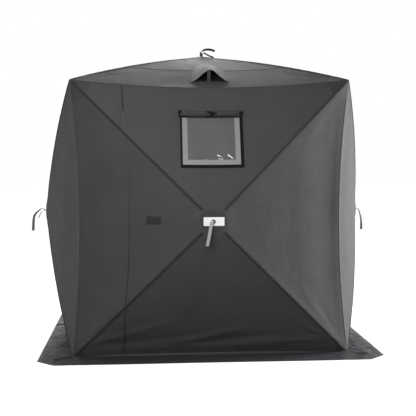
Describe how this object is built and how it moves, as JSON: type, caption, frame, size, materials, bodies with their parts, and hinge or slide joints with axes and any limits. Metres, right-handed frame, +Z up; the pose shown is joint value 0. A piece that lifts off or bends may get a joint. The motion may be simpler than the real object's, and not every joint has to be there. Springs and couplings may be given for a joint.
{
  "type": "ice fishing shelter",
  "caption": "Pop-up hub shelter for ice fishing: cube tent with fabric walls and roof pushed out by hubs and glass-fibre poles, zip door, window, vent and snow skirt.",
  "frame": {"origin": "middle of the square floor, on the ground", "axes": "+Z up; the wall with the door and window faces -Y; +X is to the right seen from in front"},
  "size_m": [2.472, 2.36, 2.092],
  "materials": {
    "fabric": "coated Oxford cloth, dark grey, low sheen",
    "skirt": "coated cloth, near black, slightly shiny",
    "trim": "black webbing and moulded trim",
    "pole": "black glass-fibre rod",
    "hub": "black moulded nylon",
    "strap": "grey woven webbing",
    "vinyl": "clear flexible vinyl"
  },
  "bodies": {
    "shell": {"snow_skirt": "skirt", "corner_pockets": "trim", "edge_webbing": "trim"},
    "hub_front_body": {"hub_front": "hub", "strap_front": "strap"},
    "pole_front_upper_right_body": {"pole_front_upper_right": "pole"},
    "pole_front_lower_right_body": {"pole_front_lower_right": "pole"},
    "pole_front_lower_left_body": {"pole_front_lower_left": "pole"},
    "pole_front_upper_left_body": {"pole_front_upper_left": "pole"},
    "front_top_panel_body": {"front_top_panel": "fabric", "window_cover": "fabric"},
    "front_right_panel_body": {"front_right_panel": "fabric"},
    "front_bottom_panel_body": {"front_bottom_panel": "fabric"},
    "front_left_panel_body": {"front_left_panel": "fabric"},
    "hub_right_body": {"hub_right": "hub", "strap_right": "strap"},
    "pole_right_upper_right_body": {"pole_right_upper_right": "pole"},
    "pole_right_lower_right_body": {"pole_right_lower_right": "pole"},
    "pole_right_lower_left_body": {"pole_right_lower_left": "pole"},
    "pole_right_upper_left_body": {"pole_right_upper_left": "pole"},
    "right_top_panel_body": {"right_top_panel": "fabric"},
    "right_right_panel_body": {"right_right_panel": "fabric"},
    "right_bottom_panel_body": {"right_bottom_panel": "fabric"},
    "right_left_panel_body": {"right_left_panel": "fabric"},
    "hub_back_body": {"hub_back": "hub"},
    "pole_back_upper_right_body": {"pole_back_upper_right": "pole"},
    "pole_back_lower_right_body": {"pole_back_lower_right": "pole"},
    "pole_back_lower_left_body": {"pole_back_lower_left": "pole"},
    "pole_back_upper_left_body": {"pole_back_upper_left": "pole"},
    "back_top_panel_body": {"back_top_panel": "fabric"},
    "back_right_panel_body": {"back_right_panel": "fabric"},
    "back_bottom_panel_body": {"back_bottom_panel": "fabric"},
    "back_left_panel_body": {"back_left_panel": "fabric"},
    "hub_left_body": {"hub_left": "hub", "strap_left": "strap"},
    "pole_left_upper_right_body": {"pole_left_upper_right": "pole"},
    "pole_left_lower_right_body": {"pole_left_lower_right": "pole"},
    "pole_left_lower_left_body": {"pole_left_lower_left": "pole"},
    "pole_left_upper_left_body": {"pole_left_upper_left": "pole"},
    "left_top_panel_body": {"left_top_panel": "fabric"},
    "left_right_panel_body": {"left_right_panel": "fabric"},
    "left_bottom_panel_body": {"left_bottom_panel": "fabric"},
    "left_left_panel_body": {"left_left_panel": "fabric"},
    "hub_roof_body": {"hub_roof": "hub", "strap_roof": "strap"},
    "pole_roof_upper_right_body": {"pole_roof_upper_right": "pole"},
    "pole_roof_lower_right_body": {"pole_roof_lower_right": "pole"},
    "pole_roof_lower_left_body": {"pole_roof_lower_left": "pole"},
    "pole_roof_upper_left_body": {"pole_roof_upper_left": "pole"},
    "roof_back_panel_body": {"roof_back_panel": "fabric"},
    "roof_right_panel_body": {"roof_right_panel": "fabric"},
    "roof_front_panel_body": {"roof_front_panel": "fabric", "vent_hood": "fabric"},
    "roof_left_panel_body": {"roof_left_panel": "fabric"},
    "door_middle_body": {"door_middle": "fabric"},
    "door_upper_body": {"door_upper": "fabric"},
    "door_lower_body": {"door_lower": "fabric"},
    "zip_slider_body": {"zip_slider": "trim"},
    "window_pane_body": {"window_pane": "vinyl"},
    "vent_strut_body": {"vent_strut": "trim"}
  },
  "joints": [
    {"name": "front_hub_pop", "type": "slide", "parent": "shell", "child": "hub_front_body", "axis": [0, -1, 0], "range_m": [-0.464, 0]},
    {"name": "front_upper_right_pole_swing", "type": "hinge", "parent": "hub_front_body", "child": "pole_front_upper_right_body", "pos_m": [0.02836, -1.132, 0.92321], "axis": [0.7051, 0, -0.7091], "range_deg": [0, 22.5]},
    {"name": "front_lower_right_pole_swing", "type": "hinge", "parent": "hub_front_body", "child": "pole_front_lower_right_body", "pos_m": [0.02836, -1.132, 0.86679], "axis": [-0.7051, 0, -0.7091], "range_deg": [0, 22.5]},
    {"name": "front_lower_left_pole_swing", "type": "hinge", "parent": "hub_front_body", "child": "pole_front_lower_left_body", "pos_m": [-0.02836, -1.132, 0.86679], "axis": [-0.7051, 0, 0.7091], "range_deg": [0, 22.5]},
    {"name": "front_upper_left_pole_swing", "type": "hinge", "parent": "hub_front_body", "child": "pole_front_upper_left_body", "pos_m": [-0.02836, -1.132, 0.92321], "axis": [0.7051, 0, 0.7091], "range_deg": [0, 22.5]},
    {"name": "front_top_panel_fold", "type": "hinge", "parent": "shell", "child": "front_top_panel_body", "pos_m": [0, -0.9, 1.79], "axis": [1, 0, 0], "range_deg": [0, 30.11]},
    {"name": "front_right_panel_fold", "type": "hinge", "parent": "shell", "child": "front_right_panel_body", "pos_m": [0.9, -0.9, 0.895], "axis": [0, 0, -1], "range_deg": [0, 29.95]},
    {"name": "front_bottom_panel_fold", "type": "hinge", "parent": "shell", "child": "front_bottom_panel_body", "pos_m": [0, -0.9, 0], "axis": [-1, 0, 0], "range_deg": [0, 30.11]},
    {"name": "front_left_panel_fold", "type": "hinge", "parent": "shell", "child": "front_left_panel_body", "pos_m": [-0.9, -0.9, 0.895], "axis": [0, 0, 1], "range_deg": [0, 29.95]},
    {"name": "right_hub_pop", "type": "slide", "parent": "shell", "child": "hub_right_body", "axis": [1, 0, 0], "range_m": [-0.464, 0]},
    {"name": "right_upper_right_pole_swing", "type": "hinge", "parent": "hub_right_body", "child": "pole_right_upper_right_body", "pos_m": [1.132, 0.02836, 0.92321], "axis": [0, 0.7051, -0.7091], "range_deg": [0, 22.5]},
    {"name": "right_lower_right_pole_swing", "type": "hinge", "parent": "hub_right_body", "child": "pole_right_lower_right_body", "pos_m": [1.132, 0.02836, 0.86679], "axis": [0, -0.7051, -0.7091], "range_deg": [0, 22.5]},
    {"name": "right_lower_left_pole_swing", "type": "hinge", "parent": "hub_right_body", "child": "pole_right_lower_left_body", "pos_m": [1.132, -0.02836, 0.86679], "axis": [0, -0.7051, 0.7091], "range_deg": [0, 22.5]},
    {"name": "right_upper_left_pole_swing", "type": "hinge", "parent": "hub_right_body", "child": "pole_right_upper_left_body", "pos_m": [1.132, -0.02836, 0.92321], "axis": [0, 0.7051, 0.7091], "range_deg": [0, 22.5]},
    {"name": "right_top_panel_fold", "type": "hinge", "parent": "shell", "child": "right_top_panel_body", "pos_m": [0.9, 0, 1.79], "axis": [0, 1, 0], "range_deg": [0, 30.11]},
    {"name": "right_right_panel_fold", "type": "hinge", "parent": "shell", "child": "right_right_panel_body", "pos_m": [0.9, 0.9, 0.895], "axis": [0, 0, -1], "range_deg": [0, 29.95]},
    {"name": "right_bottom_panel_fold", "type": "hinge", "parent": "shell", "child": "right_bottom_panel_body", "pos_m": [0.9, 0, 0], "axis": [0, -1, 0], "range_deg": [0, 30.11]},
    {"name": "right_left_panel_fold", "type": "hinge", "parent": "shell", "child": "right_left_panel_body", "pos_m": [0.9, -0.9, 0.895], "axis": [0, 0, 1], "range_deg": [0, 29.95]},
    {"name": "back_hub_pop", "type": "slide", "parent": "shell", "child": "hub_back_body", "axis": [0, 1, 0], "range_m": [-0.464, 0]},
    {"name": "back_upper_right_pole_swing", "type": "hinge", "parent": "hub_back_body", "child": "pole_back_upper_right_body", "pos_m": [-0.02836, 1.132, 0.92321], "axis": [-0.7051, 0, -0.7091], "range_deg": [0, 22.5]},
    {"name": "back_lower_right_pole_swing", "type": "hinge", "parent": "hub_back_body", "child": "pole_back_lower_right_body", "pos_m": [-0.02836, 1.132, 0.86679], "axis": [0.7051, 0, -0.7091], "range_deg": [0, 22.5]},
    {"name": "back_lower_left_pole_swing", "type": "hinge", "parent": "hub_back_body", "child": "pole_back_lower_left_body", "pos_m": [0.02836, 1.132, 0.86679], "axis": [0.7051, 0, 0.7091], "range_deg": [0, 22.5]},
    {"name": "back_upper_left_pole_swing", "type": "hinge", "parent": "hub_back_body", "child": "pole_back_upper_left_body", "pos_m": [0.02836, 1.132, 0.92321], "axis": [-0.7051, 0, 0.7091], "range_deg": [0, 22.5]},
    {"name": "back_top_panel_fold", "type": "hinge", "parent": "shell", "child": "back_top_panel_body", "pos_m": [0, 0.9, 1.79], "axis": [-1, 0, 0], "range_deg": [0, 30.11]},
    {"name": "back_right_panel_fold", "type": "hinge", "parent": "shell", "child": "back_right_panel_body", "pos_m": [-0.9, 0.9, 0.895], "axis": [0, 0, -1], "range_deg": [0, 29.95]},
    {"name": "back_bottom_panel_fold", "type": "hinge", "parent": "shell", "child": "back_bottom_panel_body", "pos_m": [0, 0.9, 0], "axis": [1, 0, 0], "range_deg": [0, 30.11]},
    {"name": "back_left_panel_fold", "type": "hinge", "parent": "shell", "child": "back_left_panel_body", "pos_m": [0.9, 0.9, 0.895], "axis": [0, 0, 1], "range_deg": [0, 29.95]},
    {"name": "left_hub_pop", "type": "slide", "parent": "shell", "child": "hub_left_body", "axis": [-1, 0, 0], "range_m": [-0.464, 0]},
    {"name": "left_upper_right_pole_swing", "type": "hinge", "parent": "hub_left_body", "child": "pole_left_upper_right_body", "pos_m": [-1.132, -0.02836, 0.92321], "axis": [0, -0.7051, -0.7091], "range_deg": [0, 22.5]},
    {"name": "left_lower_right_pole_swing", "type": "hinge", "parent": "hub_left_body", "child": "pole_left_lower_right_body", "pos_m": [-1.132, -0.02836, 0.86679], "axis": [0, 0.7051, -0.7091], "range_deg": [0, 22.5]},
    {"name": "left_lower_left_pole_swing", "type": "hinge", "parent": "hub_left_body", "child": "pole_left_lower_left_body", "pos_m": [-1.132, 0.02836, 0.86679], "axis": [0, 0.7051, 0.7091], "range_deg": [0, 22.5]},
    {"name": "left_upper_left_pole_swing", "type": "hinge", "parent": "hub_left_body", "child": "pole_left_upper_left_body", "pos_m": [-1.132, 0.02836, 0.92321], "axis": [0, -0.7051, 0.7091], "range_deg": [0, 22.5]},
    {"name": "left_top_panel_fold", "type": "hinge", "parent": "shell", "child": "left_top_panel_body", "pos_m": [-0.9, 0, 1.79], "axis": [0, -1, 0], "range_deg": [0, 30.11]},
    {"name": "left_right_panel_fold", "type": "hinge", "parent": "shell", "child": "left_right_panel_body", "pos_m": [-0.9, -0.9, 0.895], "axis": [0, 0, -1], "range_deg": [0, 29.95]},
    {"name": "left_bottom_panel_fold", "type": "hinge", "parent": "shell", "child": "left_bottom_panel_body", "pos_m": [-0.9, 0, 0], "axis": [0, 1, 0], "range_deg": [0, 30.11]},
    {"name": "left_left_panel_fold", "type": "hinge", "parent": "shell", "child": "left_left_panel_body", "pos_m": [-0.9, 0.9, 0.895], "axis": [0, 0, 1], "range_deg": [0, 29.95]},
    {"name": "roof_hub_pop", "type": "slide", "parent": "shell", "child": "hub_roof_body", "axis": [0, 0, 1], "range_m": [-0.434, 0]},
    {"name": "roof_upper_right_pole_swing", "type": "hinge", "parent": "hub_roof_body", "child": "pole_roof_upper_right_body", "pos_m": [0.02828, 0.02828, 2.007], "axis": [0.7071, -0.7071, 0], "range_deg": [0, 21.02]},
    {"name": "roof_lower_right_pole_swing", "type": "hinge", "parent": "hub_roof_body", "child": "pole_roof_lower_right_body", "pos_m": [0.02828, -0.02828, 2.007], "axis": [-0.7071, -0.7071, 0], "range_deg": [0, 21.02]},
    {"name": "roof_lower_left_pole_swing", "type": "hinge", "parent": "hub_roof_body", "child": "pole_roof_lower_left_body", "pos_m": [-0.02828, -0.02828, 2.007], "axis": [-0.7071, 0.7071, 0], "range_deg": [0, 21.02]},
    {"name": "roof_upper_left_pole_swing", "type": "hinge", "parent": "hub_roof_body", "child": "pole_roof_upper_left_body", "pos_m": [-0.02828, 0.02828, 2.007], "axis": [0.7071, 0.7071, 0], "range_deg": [0, 21.02]},
    {"name": "roof_back_panel_fold", "type": "hinge", "parent": "shell", "child": "roof_back_panel_body", "pos_m": [0, 0.9, 1.79], "axis": [1, 0, 0], "range_deg": [0, 28.18]},
    {"name": "roof_right_panel_fold", "type": "hinge", "parent": "shell", "child": "roof_right_panel_body", "pos_m": [0.9, 0, 1.79], "axis": [0, -1, 0], "range_deg": [0, 28.18]},
    {"name": "roof_front_panel_fold", "type": "hinge", "parent": "shell", "child": "roof_front_panel_body", "pos_m": [0, -0.9, 1.79], "axis": [-1, 0, 0], "range_deg": [0, 28.18]},
    {"name": "roof_left_panel_fold", "type": "hinge", "parent": "shell", "child": "roof_left_panel_body", "pos_m": [-0.9, 0, 1.79], "axis": [0, 1, 0], "range_deg": [0, 28.18]},
    {"name": "door_middle_swing", "type": "hinge", "parent": "front_left_panel_body", "child": "door_middle_body", "pos_m": [-0.72, -0.95, 0.895], "axis": [0, 0, -1], "range_deg": [0, 120]},
    {"name": "door_upper_swing", "type": "hinge", "parent": "front_top_panel_body", "child": "door_upper_body", "pos_m": [-0.72, -0.95, 0.895], "axis": [0, 0, -1], "range_deg": [0, 120]},
    {"name": "door_lower_swing", "type": "hinge", "parent": "front_bottom_panel_body", "child": "door_lower_body", "pos_m": [-0.72, -0.95, 0.895], "axis": [0, 0, -1], "range_deg": [0, 120]},
    {"name": "zip_slide", "type": "slide", "parent": "front_left_panel_body", "child": "zip_slider_body", "axis": [0, 0, 1], "range_m": [0, 0.9]},
    {"name": "window_peel", "type": "hinge", "parent": "front_top_panel_body", "child": "window_pane_body", "pos_m": [0, -0.97026, 1.5459], "axis": [-1, 0, 0], "range_deg": [0, 80]},
    {"name": "vent_strut_fold", "type": "hinge", "parent": "roof_front_panel_body", "child": "vent_strut_body", "pos_m": [0, -0.7375, 1.79109], "axis": [-1, 0, 0], "range_deg": [0, 84], "deforming": ["vent_hood"]}
  ],
  "couplings": [
    {"joint": "front_upper_right_pole_swing", "follows": "front_hub_pop", "rad_per_m": -0.84427},
    {"joint": "front_lower_right_pole_swing", "follows": "front_hub_pop", "rad_per_m": -0.84427},
    {"joint": "front_lower_left_pole_swing", "follows": "front_hub_pop", "rad_per_m": -0.84427},
    {"joint": "front_upper_left_pole_swing", "follows": "front_hub_pop", "rad_per_m": -0.84427},
    {"joint": "front_top_panel_fold", "follows": "front_hub_pop", "rad_per_m": -1.1309},
    {"joint": "front_right_panel_fold", "follows": "front_hub_pop", "rad_per_m": -1.1249},
    {"joint": "front_bottom_panel_fold", "follows": "front_hub_pop", "rad_per_m": -1.1309},
    {"joint": "front_left_panel_fold", "follows": "front_hub_pop", "rad_per_m": -1.1249},
    {"joint": "right_upper_right_pole_swing", "follows": "right_hub_pop", "rad_per_m": -0.84427},
    {"joint": "right_lower_right_pole_swing", "follows": "right_hub_pop", "rad_per_m": -0.84427},
    {"joint": "right_lower_left_pole_swing", "follows": "right_hub_pop", "rad_per_m": -0.84427},
    {"joint": "right_upper_left_pole_swing", "follows": "right_hub_pop", "rad_per_m": -0.84427},
    {"joint": "right_top_panel_fold", "follows": "right_hub_pop", "rad_per_m": -1.1309},
    {"joint": "right_right_panel_fold", "follows": "right_hub_pop", "rad_per_m": -1.1249},
    {"joint": "right_bottom_panel_fold", "follows": "right_hub_pop", "rad_per_m": -1.1309},
    {"joint": "right_left_panel_fold", "follows": "right_hub_pop", "rad_per_m": -1.1249},
    {"joint": "back_upper_right_pole_swing", "follows": "back_hub_pop", "rad_per_m": -0.84427},
    {"joint": "back_lower_right_pole_swing", "follows": "back_hub_pop", "rad_per_m": -0.84427},
    {"joint": "back_lower_left_pole_swing", "follows": "back_hub_pop", "rad_per_m": -0.84427},
    {"joint": "back_upper_left_pole_swing", "follows": "back_hub_pop", "rad_per_m": -0.84427},
    {"joint": "back_top_panel_fold", "follows": "back_hub_pop", "rad_per_m": -1.1309},
    {"joint": "back_right_panel_fold", "follows": "back_hub_pop", "rad_per_m": -1.1249},
    {"joint": "back_bottom_panel_fold", "follows": "back_hub_pop", "rad_per_m": -1.1309},
    {"joint": "back_left_panel_fold", "follows": "back_hub_pop", "rad_per_m": -1.1249},
    {"joint": "left_upper_right_pole_swing", "follows": "left_hub_pop", "rad_per_m": -0.84427},
    {"joint": "left_lower_right_pole_swing", "follows": "left_hub_pop", "rad_per_m": -0.84427},
    {"joint": "left_lower_left_pole_swing", "follows": "left_hub_pop", "rad_per_m": -0.84427},
    {"joint": "left_upper_left_pole_swing", "follows": "left_hub_pop", "rad_per_m": -0.84427},
    {"joint": "left_top_panel_fold", "follows": "left_hub_pop", "rad_per_m": -1.1309},
    {"joint": "left_right_panel_fold", "follows": "left_hub_pop", "rad_per_m": -1.1249},
    {"joint": "left_bottom_panel_fold", "follows": "left_hub_pop", "rad_per_m": -1.1309},
    {"joint": "left_left_panel_fold", "follows": "left_hub_pop", "rad_per_m": -1.1249},
    {"joint": "roof_upper_right_pole_swing", "follows": "roof_hub_pop", "rad_per_m": -0.84313},
    {"joint": "roof_lower_right_pole_swing", "follows": "roof_hub_pop", "rad_per_m": -0.84313},
    {"joint": "roof_lower_left_pole_swing", "follows": "roof_hub_pop", "rad_per_m": -0.84313},
    {"joint": "roof_upper_left_pole_swing", "follows": "roof_hub_pop", "rad_per_m": -0.84313},
    {"joint": "roof_back_panel_fold", "follows": "roof_hub_pop", "rad_per_m": -1.131},
    {"joint": "roof_right_panel_fold", "follows": "roof_hub_pop", "rad_per_m": -1.131},
    {"joint": "roof_front_panel_fold", "follows": "roof_hub_pop", "rad_per_m": -1.131},
    {"joint": "roof_left_panel_fold", "follows": "roof_hub_pop", "rad_per_m": -1.131},
    {"joint": "door_upper_swing", "follows": "door_middle_swing", "ratio": 1},
    {"joint": "door_lower_swing", "follows": "door_middle_swing", "ratio": 1}
  ]
}
